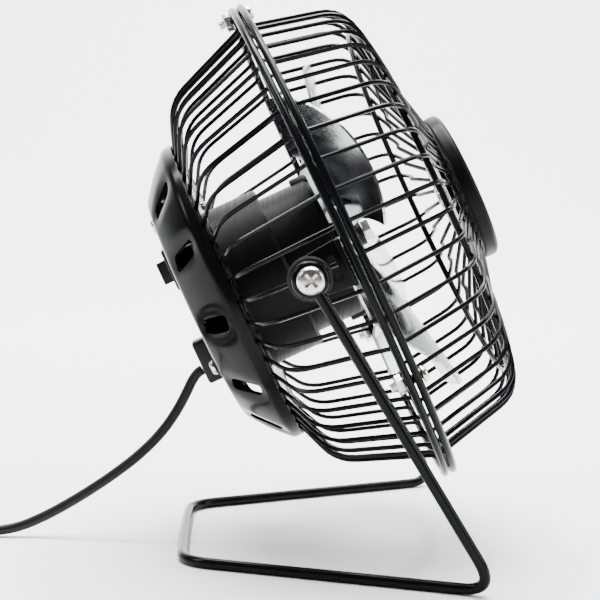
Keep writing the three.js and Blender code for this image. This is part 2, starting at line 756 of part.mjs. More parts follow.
// ---------------------------------------------------------------- pivot hardware
for (const [name, side] of [["left", -1], ["right", 1]]) {
  const plateBack = pivotZ - 6.5;
  const flangeFace = -brimZ - rimWireR - gap;
  const outline = [
    v2(plateBack, -bracketWidth / 2 + 3),
    v2(plateBack + 3, -bracketWidth / 2),
    v2(flangeFace, -bracketWidth / 2),
    v2(flangeFace, bracketWidth / 2),
    v2(plateBack + 3, bracketWidth / 2),
    v2(plateBack, bracketWidth / 2 - 3),
  ];
  // The outline lies in (z, y); turned so that it faces along x.
  const web = plate(outline, 0, bracketThickness, [roundHole(pivotZ, 0, pivotScrewR + gap)]);
  web.rotateY(-Math.PI / 2).translate(bracketX + bracketThickness, 0, 0);
  const foot = new THREE.BoxGeometry(rimR + 0.6 - bracketX, bracketWidth, bracketThickness);
  foot.translate((bracketX + rimR + 0.6) / 2, 0, flangeFace - bracketThickness / 2);
  const bracket = solid(web).add(solid(foot));
  const place = (mesh) => {
    mesh.rotation.z = side < 0 ? Math.PI : 0;
    return mesh;
  };
  place(piece(head, `pivot_bracket_${name}`, bracket, "blackPaint"));
  const washer = sleeve(pivotScrewR + gap, washerR, 0, washerThickness, 28);
  washer.rotateY(Math.PI / 2).translate(washerX, 0, pivotZ);
  place(piece(head, `pivot_washer_${name}`, washer, "rubber"));
  const bolt = screw(pivotHeadR, pivotHeadThickness, pivotScrewR, pivotHeadX - bracketX + 4);
  bolt.rotateY(Math.PI / 2).translate(pivotHeadX, 0, pivotZ);
  place(piece(head, `pivot_screw_${name}`, bolt, "nickel"));
  const lock = nut(5.5, pivotScrewR + gap, nutThickness);
  lock.rotateY(Math.PI / 2).translate(bracketX - gap - nutThickness, 0, pivotZ);
  place(piece(head, `pivot_nut_${name}`, lock, "nickel"));
}

// ---------------------------------------------------------------- cord
// Points of the cord's middle line: out of the clamp, down to the table and along it to the coil.
const cordRoute = [
  [0, 35.4, 46.48],
  [0, 36.85, 45.4],
  [0, 38.3, 43.3],
  [0, 39.8, 40.2],
  [0, 41.9, 36.2],
  [0, 44.5, 32.1],
  [0, 47.5, 28.3],
  [0, 51, 24.7],
  [0, 55, 21.2],
  [0, 59.5, 17.8],
  [0, 64.3, 14.5],
  [0, 69.5, 11.2],
  [0, 75, 8],
  [0, 80.5, 5.2],
  [0, 86, 3],
  [0, 91.5, 1.9],
  [0, 97, 1.5],
  [0, 104, 1.5],
];
const cordLine = cordRoute.map(([x, y, z]) => v3(x, y, z));
piece(deskFan, "cord_run", bar(new THREE.CatmullRomCurve3(cordLine).getSpacedPoints(22), cordR, cordSides), "rubber");
const coil = sleeve(coilInnerR, coilOuterR, floorGap, coilHeight, 36);
piece(deskFan, "cord_coil", coil.translate(coilX, coilY, 0), "rubber");

// The last turn runs out of the coil's top towards -x and comes down to the plug, which lies on the table.
const tailY = coilY + coilOuterR - cordR;
const tailTop = coilHeight - cordR - 0.05;
const plugMiddle = floorGap + plugBody[2] / 2;
const tail = [
  v3(-30.8, tailY, tailTop),
  v3(-33, tailY, tailTop - 0.4),
  v3(-37, tailY, tailTop - 1.9),
  v3(-42, tailY, plugMiddle + 1.6),
  v3(-46, tailY, plugMiddle + 0.3),
  v3(-48.6, tailY, plugMiddle),
];
piece(deskFan, "cord_tail", bar(tail, cordR, cordSides), "rubber");

const plug = new THREE.Group();
plug.position.set(tail[tail.length - 1].x - 2 * gap, tailY, plugMiddle);
plug.rotation.z = Math.PI;
deskFan.add(plug);
function plugGrip() {
  const relief = turned([[0, 0], [cordR + 0.6, 0], [cordR + 1.6, reliefLength], [0, reliefLength]], 12);
  const half = rectangle(plugBody[1] / 2, plugBody[2] / 2, 1.4);
  const grip = plate(half, reliefLength - 0.5, reliefLength + plugBody[0]);
  const tongueEnd = reliefLength + plugBody[0] + shellSize[0] - 1;
  const tongue = plate(rectangle(5.2, 0.8), reliefLength + plugBody[0] - 0.5, tongueEnd);
  const body = union([solid(relief), solid(grip), solid(tongue.translate(0, -0.7, 0))]);
  return geometryOf(body).rotateX(Math.PI / 2).rotateZ(Math.PI / 2);
}
piece(plug, "usb_plug_grip", plugGrip(), "blackPlastic");
function plugShell() {
  const outer = new THREE.BoxGeometry(...shellSize);
  const inner = new THREE.BoxGeometry(shellSize[0] + 1, shellSize[1] - 2 * shellWall, shellSize[2] - 2 * shellWall);
  const windows = [-1, 1].map((side) => solid(new THREE.BoxGeometry(2.2, 2.2, 9).translate(0.4, side * 2.7, 0)));
  return solid(outer).subtract(union([solid(inner), ...windows]));
}
const shell = piece(plug, "usb_plug_shell", plugShell(), "nickel");
shell.position.x = reliefLength + plugBody[0] + gap + shellSize[0] / 2;

export default deskFan;
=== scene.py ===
"""A small all-metal desk fan on a bent-rod stand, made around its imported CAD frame.

In the head's own frame x is across the fan, y is up in the plane where the guards meet, and z
runs forward along the fan's axis from that plane.
"""
import json
import math

import bpy
import bmesh
import numpy as np
from mathutils import Matrix, Vector


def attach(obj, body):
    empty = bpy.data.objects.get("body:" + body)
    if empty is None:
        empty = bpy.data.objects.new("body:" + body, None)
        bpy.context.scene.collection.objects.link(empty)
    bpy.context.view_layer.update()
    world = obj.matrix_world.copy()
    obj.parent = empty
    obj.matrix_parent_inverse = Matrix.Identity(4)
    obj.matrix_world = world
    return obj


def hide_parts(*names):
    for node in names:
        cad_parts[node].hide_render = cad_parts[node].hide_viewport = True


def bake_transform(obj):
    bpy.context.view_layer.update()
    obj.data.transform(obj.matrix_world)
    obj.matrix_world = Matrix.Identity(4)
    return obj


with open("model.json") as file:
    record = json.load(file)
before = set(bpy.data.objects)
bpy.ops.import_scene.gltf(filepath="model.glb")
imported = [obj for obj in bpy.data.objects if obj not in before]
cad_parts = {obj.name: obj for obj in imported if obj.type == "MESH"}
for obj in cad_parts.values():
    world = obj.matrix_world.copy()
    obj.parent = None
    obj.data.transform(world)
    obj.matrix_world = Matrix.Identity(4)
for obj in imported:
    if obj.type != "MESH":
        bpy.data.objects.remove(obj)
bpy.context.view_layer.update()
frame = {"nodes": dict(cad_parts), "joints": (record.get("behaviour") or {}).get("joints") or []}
joints = {joint["name"]: joint for joint in frame["joints"]}

# ------------------------------------------------------------ frames
MM = 0.001
GUARD_AHEAD = 12.4
pivot = Vector(joints["head_tilt"]["pos_m"])
fan_axis = Vector(joints["rotor_spin"]["axis"]).normalized()
across = Vector((1, 0, 0))
upward = fan_axis.cross(across)
STAND = Matrix.Scale(MM, 4)
HEAD = Matrix.Translation(pivot + fan_axis * GUARD_AHEAD * MM)
HEAD @= Matrix((across, upward, fan_axis)).transposed().to_4x4() @ Matrix.Scale(MM, 4)
pivot_mm = pivot / MM

# ------------------------------------------------------------ sizes in millimetres
ROD_R = 1.42
GUARD_RING_R = 69
GUARD_RING_WIRE_R = 1.0
BRIM_Z = 1.15
WIRE_R = 0.6
WIRE_COUNT = 48
SUPPORT_R = 50.7
BADGE_RING_R = 22.6
FOOT_RING_R = 41.3
CORD_R = 1.4
COIL_X = -19.7
COIL_Y = 114.9

# ------------------------------------------------------------ camera
CAMERA_AT = Vector((-465.9, 23.0, 106.25)) * MM
CAMERA_YAW = math.radians(-1.78)
CAMERA_PITCH = math.radians(-4.98)
SENSOR = 36
LENS = 102


def make_camera():
    data = bpy.data.cameras.new("camera")
    data.sensor_width = SENSOR
    data.lens = LENS
    data.clip_start, data.clip_end = 0.01, 20
    camera = bpy.data.objects.new("camera", data)
    bpy.context.scene.collection.objects.link(camera)
    level = math.cos(CAMERA_PITCH)
    aside, up = level * math.sin(CAMERA_YAW), math.sin(CAMERA_PITCH)
    ahead = Vector((level * math.cos(CAMERA_YAW), aside, up))
    camera.location = CAMERA_AT
    camera.rotation_euler = ahead.to_track_quat("-Z", "Y").to_euler()
    bpy.context.scene.camera = camera


make_camera()


# ------------------------------------------------------------ materials
class Look:
    """A Principled material and the nodes that vary it."""

    def __init__(self, name, colour, roughness, metallic=0.0, **sockets):
        self.material = bpy.data.materials.new(name)
        self.material.use_nodes = True
        self.tree = self.material.node_tree
        self.shader = self.tree.nodes["Principled BSDF"]
        self.set("Base Color", (*colour, 1))
        self.set("Roughness", roughness)
        self.set("Metallic", metallic)
        for socket, value in sockets.items():
            self.set(socket.replace("_", " "), value)
        self.place = self.tree.nodes.new("ShaderNodeTexCoord").outputs["Object"]

    def set(self, socket, value):
        self.shader.inputs[socket].default_value = value

    def noise(self, scale, detail=4.0, stretch=(1, 1, 1), rotation=(0, 0, 0)):
        mapping = self.tree.nodes.new("ShaderNodeMapping")
        mapping.inputs["Scale"].default_value = stretch
        mapping.inputs["Rotation"].default_value = rotation
        self.tree.links.new(self.place, mapping.inputs["Vector"])
        noise = self.tree.nodes.new("ShaderNodeTexNoise")
        noise.inputs["Scale"].default_value = scale
        noise.inputs["Detail"].default_value = detail
        self.tree.links.new(mapping.outputs["Vector"], noise.inputs["Vector"])
        return noise.outputs["Fac"]

    def vary_roughness(self, source, low, high):
        ranged = self.tree.nodes.new("ShaderNodeMapRange")
        ranged.inputs["From Min"].default_value = 0.3
        ranged.inputs["From Max"].default_value = 0.7
        ranged.inputs["To Min"].default_value = low
        ranged.inputs["To Max"].default_value = high
        self.tree.links.new(source, ranged.inputs["Value"])
        self.tree.links.new(ranged.outputs["Result"], self.shader.inputs["Roughness"])

    def vary_colour(self, source, dark, light):
        ramp = self.tree.nodes.new("ShaderNodeValToRGB")
        ramp.color_ramp.elements[0].position = 0.35
        ramp.color_ramp.elements[1].position = 0.65
        ramp.color_ramp.elements[0].color = (*dark, 1)
        ramp.color_ramp.elements[1].color = (*light, 1)
        self.tree.links.new(source, ramp.inputs["Fac"])
        self.tree.links.new(ramp.outputs["Color"], self.shader.inputs["Base Color"])

    def bump(self, source, height, strength):
        bump = self.tree.nodes.new("ShaderNodeBump")
        bump.inputs["Strength"].default_value = strength
        bump.inputs["Distance"].default_value = height * MM
        self.tree.links.new(source, bump.inputs["Height"])
        self.tree.links.new(bump.outputs["Normal"], self.shader.inputs["Normal"])


def gloss_paint():
    look = Look("gloss_black_paint", (0.003, 0.003, 0.0035), 0.14, Specular_IOR_Level=0.08)
    look.vary_roughness(look.noise(140), 0.12, 0.24)
    look.bump(look.noise(900, 2), 0.03, 0.35)
    return look.material


def satin_paint():
    look = Look("satin_black_paint", (0.003, 0.003, 0.0035), 0.42, Specular_IOR_Level=0.08)
    look.vary_roughness(look.noise(120), 0.36, 0.5)
    look.bump(look.noise(2600, 3), 0.02, 0.5)
    return look.material


def turned_satin():
    """Satin paint over a tube that has fine lines running around it."""
    look = Look("turned_satin_black", (0.003, 0.003, 0.0035), 0.4, Specular_IOR_Level=0.1)
    tilt = math.atan2(fan_axis.z, -fan_axis.y)
    lines = look.noise(1500, 2, (0.01, 1, 0.01), (-tilt, 0, 0))
    look.vary_roughness(lines, 0.34, 0.5)
    look.bump(lines, 0.02, 0.6)
    return look.material


def brushed_black():
    look = Look("brushed_black_badge", (0.003, 0.003, 0.003), 0.34, Specular_IOR_Level=0.08)
    lines = look.noise(700, 3, (0.04, 1, 1))
    look.vary_roughness(lines, 0.3, 0.45)
    look.bump(lines, 0.01, 0.5)
    return look.material


def black_plastic():
    look = Look("moulded_black_plastic", (0.005, 0.005, 0.005), 0.45, Specular_IOR_Level=0.2)
    look.vary_roughness(look.noise(300), 0.38, 0.52)
    look.bump(look.noise(2200, 4), 0.03, 0.5)
    return look.material


def rubber():
    look = Look("black_rubber", (0.006, 0.006, 0.006), 0.7, Specular_IOR_Level=0.2)
    look.vary_roughness(look.noise(400), 0.62, 0.8)
    look.bump(look.noise(1500, 4), 0.05, 0.6)
    return look.material


def cord_jacket():
    look = Look("black_cord_jacket", (0.006, 0.006, 0.006), 0.38, Specular_IOR_Level=0.2)
    look.vary_roughness(look.noise(260), 0.32, 0.46)
    look.bump(look.noise(1300, 3), 0.03, 0.4)
    return look.material


def lead_jacket():
    look = Look("red_lead_jacket", (0.42, 0.02, 0.02), 0.4)
    look.vary_roughness(look.noise(260), 0.32, 0.46)
    return look.material


def polished_aluminium():
    look = Look("polished_aluminium", (0.62, 0.63, 0.64), 0.16, 1.0)
    lines = look.noise(420, 4, (1, 0.07, 1), (0.4, 0.2, 0.6))
    look.vary_roughness(lines, 0.12, 0.22)
    look.bump(lines, 0.004, 0.5)
    return look.material


def nickel():
    look = Look("nickel_plate", (0.72, 0.70, 0.66), 0.2, 1.0)
    look.vary_roughness(look.noise(500), 0.14, 0.3)
    look.bump(look.noise(1200, 4), 0.02, 0.4)
    return look.material


def bare_steel():
    look = Look("bare_steel", (0.48, 0.48, 0.49), 0.35, 1.0)
    look.vary_roughness(look.noise(500, 3, (1, 0.1, 1)), 0.28, 0.44)
    return look.material


def bronze():
    look = Look("sintered_bronze", (0.55, 0.38, 0.17), 0.45, 1.0)
    look.vary_colour(look.noise(1500), (0.45, 0.3, 0.13), (0.62, 0.44, 0.2))
    return look.material


def copper():
    look = Look("enamelled_copper", (0.6, 0.24, 0.1), 0.3, 1.0)
    look.vary_colour(look.noise(900, 2, (1, 6, 1)), (0.5, 0.18, 0.07), (0.68, 0.3, 0.14))
    return look.material


def ferrite():
    look = Look("dark_ferrite", (0.05, 0.05, 0.055), 0.6)
    look.bump(look.noise(1800), 0.03, 0.5)
    return look.material


LOOKS = {
    "black_paint": gloss_paint(),
    "satin_black": satin_paint(),
    "shroud": turned_satin(),
    "badge": brushed_black(),
    "black_plastic": black_plastic(),
    "black_rubber": rubber(),
    "cord_jacket": cord_jacket(),
    "lead_jacket": lead_jacket(),
    "polished_aluminium": polished_aluminium(),
    "nickel_plate": nickel(),
    "bare_steel": bare_steel(),
    "sintered_bronze": bronze(),
    "copper": copper(),
    "ferrite": ferrite(),
}


# ------------------------------------------------------------ shapes: (vertices, faces) in mm
def joined(*shapes):
    """Several shapes as one, with nothing merged."""
    vertices, faces = [], []
    for some, more in shapes:
        base = len(vertices)
        vertices.extend(tuple(v) for v in some)
        faces.extend(tuple(base + i for i in face) for face in more)
    return vertices, faces


def moved(shape, matrix):
    vertices = np.asarray(shape[0], float)
    turn = np.array(matrix.to_3x3())
    return vertices @ turn.T + np.array(matrix.translation), shape[1]


def turned_about_axis(shape, degrees):
    return moved(shape, Matrix.Rotation(math.radians(degrees), 4, "Z"))


def rounded(corners, setbacks, steps=5):
    """The corners joined by straight lines, with a curve over each inner corner."""
    corners = [np.asarray(c, float) for c in corners]
    points = [corners[0]]
    for i, setback in enumerate(setbacks, 1):
        here = corners[i]
        ends = []
        for other in (corners[i - 1], corners[i + 1]):
            ends.append(here + (other - here) / np.linalg.norm(other - here) * setback)
        for t in np.linspace(0, 1, steps + 1):
            points.append((1 - t) ** 2 * ends[0] + 2 * t * (1 - t) * here + t * t * ends[1])
    points.append(corners[-1])
    return np.array(points)


def tube(points, radius, sides=10):
    """A round bar along the points. The radius is one number, or one for each point."""
    points = np.asarray(points, float)
    count = len(points)
    radii = np.broadcast_to(radius, count)
    tangents = np.gradient(points, axis=0)
    tangents /= np.linalg.norm(tangents, axis=1)[:, None]
    start = np.eye(3)[np.argmin(np.abs(tangents[0]))]
    normal = np.cross(tangents[0], start)
    vertices, faces = [], []
    for i in range(count):
        normal = normal - tangents[i] * np.dot(normal, tangents[i])
        normal /= np.linalg.norm(normal)
        side = np.cross(tangents[i], normal)
        for k in range(sides):
            angle = 2 * math.pi * k / sides
            out = math.cos(angle) * normal + math.sin(angle) * side
            vertices.append(points[i] + radii[i] * out)
    for i in range(count - 1):
        for k in range(sides):
            a, b = i * sides + k, i * sides + (k + 1) % sides
            faces.append((a, b, b + sides, a + sides))
    faces.append(tuple(range(sides))[::-1])
    faces.append(tuple((count - 1) * sides + k for k in range(sides)))
    return vertices, faces


def blunt_tube(points, radius, sides=10):
    """A tube whose two ends are rounded over."""
    points = np.asarray(points, float)
    first = (points[1] - points[0]) / np.linalg.norm(points[1] - points[0])
    last = (points[-1] - points[-2]) / np.linalg.norm(points[-1] - points[-2])
    bend = [(math.cos(a), math.sin(a)) for a in (1.4, 0.9, 0.45)]
    head = [points[0] - first * radius * (s - 1) for c, s in bend]
    tail = [points[-1] + last * radius * (s - 1) for c, s in reversed(bend)]
    sizes = [radius * c for c, s in bend]
    inner = points[1:-1]
    start = points[0] + first * radius
    end = points[-1] - last * radius
    path = np.vstack([head, [start], inner, [end], tail])
    radii = sizes + [radius] * (len(inner) + 2) + sizes[::-1]
    return tube(path, radii, sides)


def lathe(profile, segments=64, closed=False):
    """A turned piece about z from (radius, z) pairs, closed into a ring if they don't meet z."""
    vertices, rings, faces = [], [], []
    for r, z in profile:
        if r < 1e-6:
            rings.append([len(vertices)])
            vertices.append((0, 0, z))
            continue
        rings.append(list(range(len(vertices), len(vertices) + segments)))
        for k in range(segments):
            angle = 2 * math.pi * k / segments
            vertices.append((r * math.cos(angle), r * math.sin(angle), z))
    pairs = list(zip(rings, rings[1:])) + ([(rings[-1], rings[0])] if closed else [])
    for low, high in pairs:
        for k in range(segments):
            j = (k + 1) % segments
            under = [low[k % len(low)], low[j % len(low)]]
            over = [high[j % len(high)], high[k % len(high)]]
            face = tuple(dict.fromkeys(under + over))
            if len(face) > 2:
                faces.append(face)
    return vertices, faces


def ring(radius, z, wire_r, segments=160, sides=10):
    circle = [2 * math.pi * k / sides for k in range(sides)]
    profile = [(radius + wire_r * math.cos(a), z + wire_r * math.sin(a)) for a in circle]
    return lathe(profile, segments, closed=True)


def soft_profile(profile, radius, steps=4):
    """An open (radius, z) profile with its inner corners rounded over."""
    setbacks = []
    for i in range(1, len(profile) - 1):
        here = profile[i]
        near = min(math.dist(here, profile[i - 1]), math.dist(here, profile[i + 1]))
        setbacks.append(min(radius, near * 0.45))
    return rounded(profile, setbacks, steps)


def rounded_rectangle(half_x, half_y, radius, steps=4):
    points = []
    for quarter, (sx, sy) in enumerate(((1, 1), (-1, 1), (-1, -1), (1, -1))):
        for k in range(steps + 1):
            angle = math.pi / 2 * (quarter + k / steps)
            x = sx * (half_x - radius) + radius * math.cos(angle)
            y = sy * (half_y - radius) + radius * math.sin(angle)
            points.append((x, y))
    return points


def inset(outline, depth):
    """A closed outline, counterclockwise, moved inward."""
    points = np.asarray(outline, float)
    before = points - np.roll(points, 1, 0)
    after = np.roll(points, -1, 0) - points
    before /= np.linalg.norm(before, axis=1)[:, None]
    after /= np.linalg.norm(after, axis=1)[:, None]
    middle = before + after
    middle /= np.linalg.norm(middle, axis=1)[:, None]
    inward = np.stack([-middle[:, 1], middle[:, 0]], 1)
    spread = np.clip(np.einsum("ij,ij->i", middle, before), 0.5, 1)
    return points + inward * (depth / spread)[:, None]


def slab(outline, low, high, bevel, steps=3):
    """An outline, counterclockwise, drawn out from low to high with its edges rounded over."""
    layers = []
    for k in range(steps + 1):
        angle = math.pi / 2 * k / steps
        layers.append((bevel * (1 - math.sin(angle)), low + bevel * (1 - math.cos(angle))))
    layers += [(depth, high + low - z) for depth, z in reversed(layers)]
    vertices, faces = [], []
    count = len(outline)
    for depth, z in layers:
        vertices.extend((x, y, z) for x, y in inset(outline, depth))
    for i in range(len(layers) - 1):
        for k in range(count):
            a, b = i * count + k, i * count + (k + 1) % count
            faces.append((a, b, b + count, a + count))
    faces.append(tuple(range(count))[::-1])
    faces.append(tuple((len(layers) - 1) * count + k for k in range(count)))
    return vertices, faces


def drilled(radius, low, high):
    return lathe([(0, low), (radius, low), (radius, high), (0, high)], 24)


# ------------------------------------------------------------ pieces
def make_object(name, shape):
    mesh = bpy.data.meshes.new(name)
    mesh.from_pydata([tuple(v) for v in shape[0]], [], shape[1])
    shaped = bmesh.new()
    shaped.from_mesh(mesh)
    bmesh.ops.recalc_face_normals(shaped, faces=shaped.faces)
    shaped.to_mesh(mesh)
    shaped.free()
    thing = bpy.data.objects.new(name, mesh)
    bpy.context.scene.collection.objects.link(thing)
    return thing


def cut(thing, tools, own):
    """Takes each tool's shape out of the object, whose own parts may pass through each other."""
    for shape in tools:
        tool = make_object("tool", shape)
        modifier = thing.modifiers.new("cut", "BOOLEAN")
        modifier.operation = "DIFFERENCE"
        modifier.solver = "EXACT"
        modifier.use_self = own
        modifier.object = tool
        graph = bpy.context.evaluated_depsgraph_get()
        mesh = bpy.data.meshes.new_from_object(thing.evaluated_get(graph))
        thing.modifiers.clear()
        thing.data = mesh
        bpy.data.objects.remove(tool)


def piece(
    name, shape, place, body, slot, replaces=(), look=None, sharp=38, tools=(), own=False
):
    """A finished piece: cut, placed, smoothed, given its material, riding on its body."""
    thing = make_object(name, shape)
    if tools:
        cut(thing, tools, own)
    thing.name = thing.data.name = name
    thing.data.transform(place)
    thing.data.materials.clear()
    thing.data.materials.append(LOOKS[look or slot])
    thing.data.shade_smooth()
    thing.data.set_sharp_from_angle(angle=math.radians(sharp))
    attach(thing, body)
    if replaces:
        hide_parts(*replaces)
    return thing


# ------------------------------------------------------------ cord
ROUTE = [
    (0, 35.4, 46.48),
    (0, 36.85, 45.4),
    (0, 38.3, 43.3),
    (0, 39.8, 40.2),
    (0, 41.9, 36.2),
    (0, 44.5, 32.1),
    (0, 47.5, 28.3),
    (0, 51, 24.7),
    (0, 55, 21.2),
    (0, 59.5, 17.8),
    (0, 64.3, 14.5),
    (0, 69.5, 11.2),
    (0, 75, 8),
    (0, 80.5, 5.2),
    (0, 86, 3),
    (0, 91.5, 1.9),
    (0, 97, 1.5),
    (0, 104, 1.5),
]
TAIL = [
    (-30.8, 134.6, 10.0),
    (-33, 134.6, 9.65),
    (-37, 134.6, 8.15),
    (-42, 134.6, 5.4),
    (-46, 134.6, 4.1),
    (-48.8, 134.6, 3.82),
]
INTO_COIL = (0, 109.5, 1.46)
OUT_OF_COIL = (-25.3, 134.6, 10.0)
PLUG_AT = (-49.2, 134.6, 3.82)
TURN_R = 19.7
PITCH = 2.85
FLOOR_GAP = 0.06
LAYER_TURNS = 2
TOP_LAYER = 3
CLIMB = 75
LAST_ANGLE = 8 * 360 + 90


def coil_points():
    """The turns of the coil: a spiral in, a step up, a spiral out, and so on, in four layers."""
    inner = TURN_R - LAYER_TURNS * PITCH
    points = []
    layer_sweep = LAYER_TURNS * 360
    to_next = layer_sweep + CLIMB
    for step in range(0, LAST_ANGLE + 1, 15):
        layer = min(step // to_next, TOP_LAYER)
        into = step - layer * to_next
        sweep = layer_sweep if layer < TOP_LAYER else LAST_ANGLE - TOP_LAYER * to_next
        inward = (TURN_R - inner) * min(into / sweep, 1)
        radius = TURN_R - inward if layer % 2 == 0 else inner + inward
        rise = min(max((into - sweep) / CLIMB, 0), 1)
        z = CORD_R + FLOOR_GAP + PITCH * (layer + rise * rise * (3 - 2 * rise))
        angle = math.radians(step)
        x, y = radius * math.cos(angle), radius * math.sin(angle)
        points.append((COIL_X + x, COIL_Y + y, z))
    return points


def smooth_through(points, steps):
    """A smooth curve through the points, with that many steps between each pair."""
    points = np.asarray(points, float)
    padded = np.vstack([2 * points[0] - points[1], points, 2 * points[-1] - points[-2]])
    out = []
    for i in range(1, len(padded) - 2):
        a, b, c, d = padded[i - 1 : i + 3]
        for t in np.linspace(0, 1, steps, endpoint=False):
            bend = 2 * a - 5 * b + 4 * c - d
            curl = -a + 3 * b - 3 * c + d
            out.append(0.5 * (2 * b + (c - a) * t + bend * t * t + curl * t**3))
    out.append(padded[-2])
    return np.array(out)


def make_plug():
    """The plug's grip with its tapered relief, and its sheet-metal shell."""
    place = STAND @ Matrix.Translation(PLUG_AT) @ Matrix.Rotation(math.radians(-90), 4, "Y")
    relief = lathe(soft_profile([(0, 0), (2.0, 0), (2.9, 9), (2.9, 10), (0, 10)], 0.5), 32)
    grip = slab(rounded_rectangle(3.75, 5.9, 1.6), 8.5, 24.5, 0.7)
    ridge = rounded_rectangle(3.9, 3.6, 0.5)
    ridges = [slab(ridge, 12 + 2.4 * k, 13.2 + 2.4 * k, 0.3) for k in range(4)]
    tongue = slab(rounded_rectangle(0.8, 5.2, 0.2), 24, 35.5, 0.15)
    tongue = moved(tongue, Matrix.Translation((-0.8, 0, 0)))
    grip_piece = piece(
        "usb_plug_grip_fine",
        joined(relief, grip, tongue, *ridges),
        place,
        "stand",
        "black_plastic",
        ["usb_plug_grip"],
    )
    outside = slab(rounded_rectangle(2.25, 6, 0.5), 24.8, 36.8, 0.12)
    inside = slab(rounded_rectangle(1.85, 5.6, 0.3), 24, 38, 0.05)
    windows = []
    for side in (-1, 1):
        hole = slab(rounded_rectangle(3, 1.1, 0.15), 30.1, 32.3, 0.02)
        windows.append(moved(hole, Matrix.Translation((0, side * 2.7, 0))))
    shell_piece = piece(
        "usb_plug_shell_fine",
        outside,
        place,
        "stand",
        "nickel_plate",
        ["usb_plug_shell"],
        tools=[inside, *windows],
    )
    return grip_piece, shell_piece


def make_cord(with_pieces):
    """The whole cord, from the clamp to the plug."""
    route = smooth_through(ROUTE, 3)
    tail = smooth_through(TAIL, 3)
    path = np.vstack([route, [INTO_COIL], coil_points(), [OUT_OF_COIL], tail])
    cord = make_object("usb_cord", tube(path, CORD_R, 12))
    cord.data.transform(STAND)
    cord.data.materials.append(LOOKS["cord_jacket"])
    cord.data.shade_smooth()
    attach(cord, "stand")
    cord.parent = None
    cord.matrix_world = Matrix.Identity(4)
    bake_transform(cord)
    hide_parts("cord_run", "cord_coil", "cord_tail")


make_cord(make_plug())


# ------------------------------------------------------------ stand
EYE_X = 72.45
EYE_R = 3.22
FRONT_X = 69.05
FRONT_Y = -44.8
REAR_X = 35
REAR_Y = 31.7
BOW = 0.8
STAND_GAP = 0.02


def make_stand():
    """One rod: from the left eye around the base to the right eye, its y places from the pivot."""
    floor = ROD_R + STAND_GAP
    y, z = pivot_mm.y, pivot_mm.z
    eyes = [np.array((side * EYE_X, y, z)) for side in (-1, 1)]
    front = [np.array((side * FRONT_X, y + FRONT_Y, floor)) for side in (-1, 1)]
    rear = [np.array((side * REAR_X, y + REAR_Y, floor)) for side in (-1, 1)]
    bow = np.array((0, y + REAR_Y + BOW, floor))
    starts = []
    for eye, corner in zip(eyes, front):
        down = (corner - eye) / np.linalg.norm(corner - eye)
        starts.append(eye + down * EYE_R)
    corners = [starts[0], front[0], rear[0], bow, rear[1], front[1], starts[1]]
    path = rounded(corners, [9, 8, 20, 8, 9], 10)
    rod = tube(path, ROD_R, 20)
    loops = []
    for eye in eyes:
        loop = ring(EYE_R, 0, ROD_R, 40, 16)
        place = Matrix.Translation(eye) @ Matrix.Rotation(math.pi / 2, 4, "Y")
        loops.append(moved(loop, place))
    piece("bent_rod_stand", joined(rod, *loops), STAND, "stand", "black_paint", ["stand_rod"])


make_stand()

# ------------------------------------------------------------ guards
FRONT_WIRE = [
    (69.6, BRIM_Z),
    (63.7, BRIM_Z),
    (57.8, 25.6),
    (46, 27.9),
    (42.6, 28.3),
    (40.4, 27.7),
    (37, 28.6),
    (BADGE_RING_R - 0.3, 32.55),
]
FRONT_BENDS = [1.8, 6.2, 1.6, 1.0, 1.0, 1.6]
REAR_WIRE = [(69.6, -BRIM_Z), (64, -BRIM_Z), (54.2, -26.3), (FOOT_RING_R - 0.3, -31.3)]
REAR_BENDS = [1.8, 5.5]
BADGE_RING_Z = 32.1
FOOT_RING_Z = -31.35
SUPPORT_Z = 25.75
SECTORS = range(1, 7)
CLIP_ANGLES = (90, 210, 330)
CLIP_R = 66.9


def wires(corners, bends):
    """All the wires of one guard, each along the same (radius, z) corners."""
    line = rounded(corners, bends, 5)
    path = np.stack([line[:, 0], np.zeros(len(line)), line[:, 1]], 1)
    one = blunt_tube(path, WIRE_R, 8)
    return [turned_about_axis(one, 360 * k / WIRE_COUNT) for k in range(WIRE_COUNT)]


def clip_lugs(z):
    """The flat ears of one guard, one for each screw."""
    ear = slab(rounded_rectangle(3.3, 3.6, 1.4), z - 0.75, z + 0.75, 0.25)
    lug = moved(ear, Matrix.Translation((CLIP_R - 0.5, 0, 0)))
    return [turned_about_axis(lug, angle) for angle in CLIP_ANGLES]


def make_guards():
    front_rings = [
        ring(GUARD_RING_R, BRIM_Z, GUARD_RING_WIRE_R, 192, 12),
        ring(BADGE_RING_R, BADGE_RING_Z, 0.8, 96, 10),
    ]
    rear_rings = [
        ring(GUARD_RING_R, -BRIM_Z, GUARD_RING_WIRE_R, 192, 12),
        ring(FOOT_RING_R, FOOT_RING_Z, 0.8, 144, 10),
    ]
    front = joined(*wires(FRONT_WIRE, FRONT_BENDS), *front_rings, *clip_lugs(BRIM_Z + 0.2))
    rear = joined(*wires(REAR_WIRE, REAR_BENDS), *rear_rings, *clip_lugs(-BRIM_Z - 0.2))
    names = [f"front_guard_sector_{k}" for k in SECTORS]
    piece("front_wire_guard", front, HEAD, "head", "black_paint", names)
    names = [f"rear_guard_sector_{k}" for k in SECTORS]
    piece("rear_wire_guard", rear, HEAD, "head", "black_paint", names)
    support = ring(SUPPORT_R, SUPPORT_Z, 0.85)
    piece("guard_support_ring", support, HEAD, "head", "black_paint", ["front_support_ring"])


make_guards()


# ------------------------------------------------------------ screws and nuts
THREAD_PITCH = 0.5


